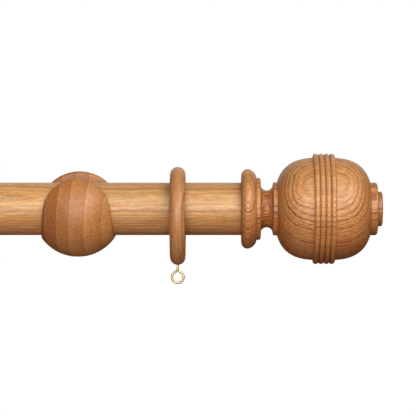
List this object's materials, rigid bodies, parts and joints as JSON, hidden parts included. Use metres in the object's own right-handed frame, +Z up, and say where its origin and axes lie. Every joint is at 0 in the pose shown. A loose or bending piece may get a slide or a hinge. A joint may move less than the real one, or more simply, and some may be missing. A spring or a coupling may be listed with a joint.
{
  "type": "curtain rod with brackets",
  "caption": "Round wooden curtain pole with a turned finial at each end, resting in two open cup brackets, with wooden rings and screw eyes.",
  "frame": {"origin": "on the wall plane, half way between the two hanger bolts, at the bolts' height", "axes": "+X along the pole to the right as seen from the room, +Y from the room into the wall, +Z up"},
  "size_m": [1.389, 0.1509, 0.087],
  "materials": {
    "pole_wood": "satin lacquered light golden pine, grain along the pole",
    "finial_wood": "satin lacquered golden wood, grain along the finial's axis",
    "bracket_wood": "satin lacquered brown wood, grain from wall to front",
    "ring_wood": "satin lacquered brown wood",
    "brass": "brass, bright and lightly worn",
    "steel": "zinc-plated steel"
  },
  "bodies": {
    "brackets": {"bracket_cup_left": "bracket_wood", "bracket_cup_right": "bracket_wood", "bracket_insert_left": "brass", "bracket_insert_right": "brass", "hanger_bolt_left": "steel", "hanger_bolt_right": "steel", "retaining_screw_left": "steel", "retaining_screw_right": "steel"},
    "pole": {"pole": "pole_wood", "pole_insert_left": "brass", "pole_insert_right": "brass"},
    "finial_bolt_left": {"finial_bolt_left": "steel"},
    "finial_left": {"finial_left": "finial_wood"},
    "finial_bolt_right": {"finial_bolt_right": "steel"},
    "finial_right": {"finial_right": "finial_wood"},
    "ring_01": {"ring_01": "ring_wood", "screw_eye_01": "brass"},
    "ring_02": {"ring_02": "ring_wood", "screw_eye_02": "brass"},
    "ring_03": {"ring_03": "ring_wood", "screw_eye_03": "brass"},
    "ring_04": {"ring_04": "ring_wood", "screw_eye_04": "brass"},
    "ring_05": {"ring_05": "ring_wood", "screw_eye_05": "brass"},
    "ring_06": {"ring_06": "ring_wood", "screw_eye_06": "brass"},
    "ring_07": {"ring_07": "ring_wood", "screw_eye_07": "brass"},
    "ring_08": {"ring_08": "ring_wood", "screw_eye_08": "brass"},
    "ring_09": {"ring_09": "ring_wood", "screw_eye_09": "brass"},
    "ring_10": {"ring_10": "ring_wood", "screw_eye_10": "brass"},
    "ring_11": {"ring_11": "ring_wood", "screw_eye_11": "brass"},
    "ring_12": {"ring_12": "ring_wood", "screw_eye_12": "brass"}
  },
  "joints": [
    {"name": "pole_lift", "type": "slide", "parent": "brackets", "child": "pole", "axis": [0, 0, 1], "range_m": [0, 0.06]},
    {"name": "finial_left_withdraw", "type": "slide", "parent": "pole", "child": "finial_bolt_left", "axis": [-1, 0, 0], "range_m": [0, 0.0176]},
    {"name": "finial_left_unscrew", "type": "hinge", "parent": "finial_bolt_left", "child": "finial_left", "pos_m": [-0.6, -0.076, 0.0023], "axis": [-1, 0, 0], "range_deg": [0, 5040]},
    {"name": "finial_right_withdraw", "type": "slide", "parent": "pole", "child": "finial_bolt_right", "axis": [1, 0, 0], "range_m": [0, 0.0176]},
    {"name": "finial_right_unscrew", "type": "hinge", "parent": "finial_bolt_right", "child": "finial_right", "pos_m": [0.6, -0.076, 0.0023], "axis": [1, 0, 0], "range_deg": [0, 5040]},
    {"name": "ring_01_slide", "type": "slide", "parent": "pole", "child": "ring_01", "axis": [1, 0, 0], "range_m": [-0.0367, 0.0341]},
    {"name": "ring_02_slide", "type": "slide", "parent": "pole", "child": "ring_02", "axis": [1, 0, 0], "range_m": [-0.0567, 0.0787]},
    {"name": "ring_03_slide", "type": "slide", "parent": "pole", "child": "ring_03", "axis": [1, 0, 0], "range_m": [-0.0787, 0.0787]},
    {"name": "ring_04_slide", "type": "slide", "parent": "pole", "child": "ring_04", "axis": [1, 0, 0], "range_m": [-0.0787, 0.0787]},
    {"name": "ring_05_slide", "type": "slide", "parent": "pole", "child": "ring_05", "axis": [1, 0, 0], "range_m": [-0.0787, 0.0787]},
    {"name": "ring_06_slide", "type": "slide", "parent": "pole", "child": "ring_06", "axis": [1, 0, 0], "range_m": [-0.0787, 0.0787]},
    {"name": "ring_07_slide", "type": "slide", "parent": "pole", "child": "ring_07", "axis": [1, 0, 0], "range_m": [-0.0787, 0.0787]},
    {"name": "ring_08_slide", "type": "slide", "parent": "pole", "child": "ring_08", "axis": [1, 0, 0], "range_m": [-0.0787, 0.0787]},
    {"name": "ring_09_slide", "type": "slide", "parent": "pole", "child": "ring_09", "axis": [1, 0, 0], "range_m": [-0.0787, 0.0787]},
    {"name": "ring_10_slide", "type": "slide", "parent": "pole", "child": "ring_10", "axis": [1, 0, 0], "range_m": [-0.0787, 0.0787]},
    {"name": "ring_11_slide", "type": "slide", "parent": "pole", "child": "ring_11", "axis": [1, 0, 0], "range_m": [-0.0787, 0.0567]},
    {"name": "ring_12_slide", "type": "slide", "parent": "pole", "child": "ring_12", "axis": [1, 0, 0], "range_m": [-0.0341, 0.0367]}
  ],
  "couplings": [
    {"joint": "finial_left_withdraw", "follows": "finial_left_unscrew", "m_per_rad": 0.00019894},
    {"joint": "finial_right_withdraw", "follows": "finial_right_unscrew", "m_per_rad": 0.00019894}
  ]
}
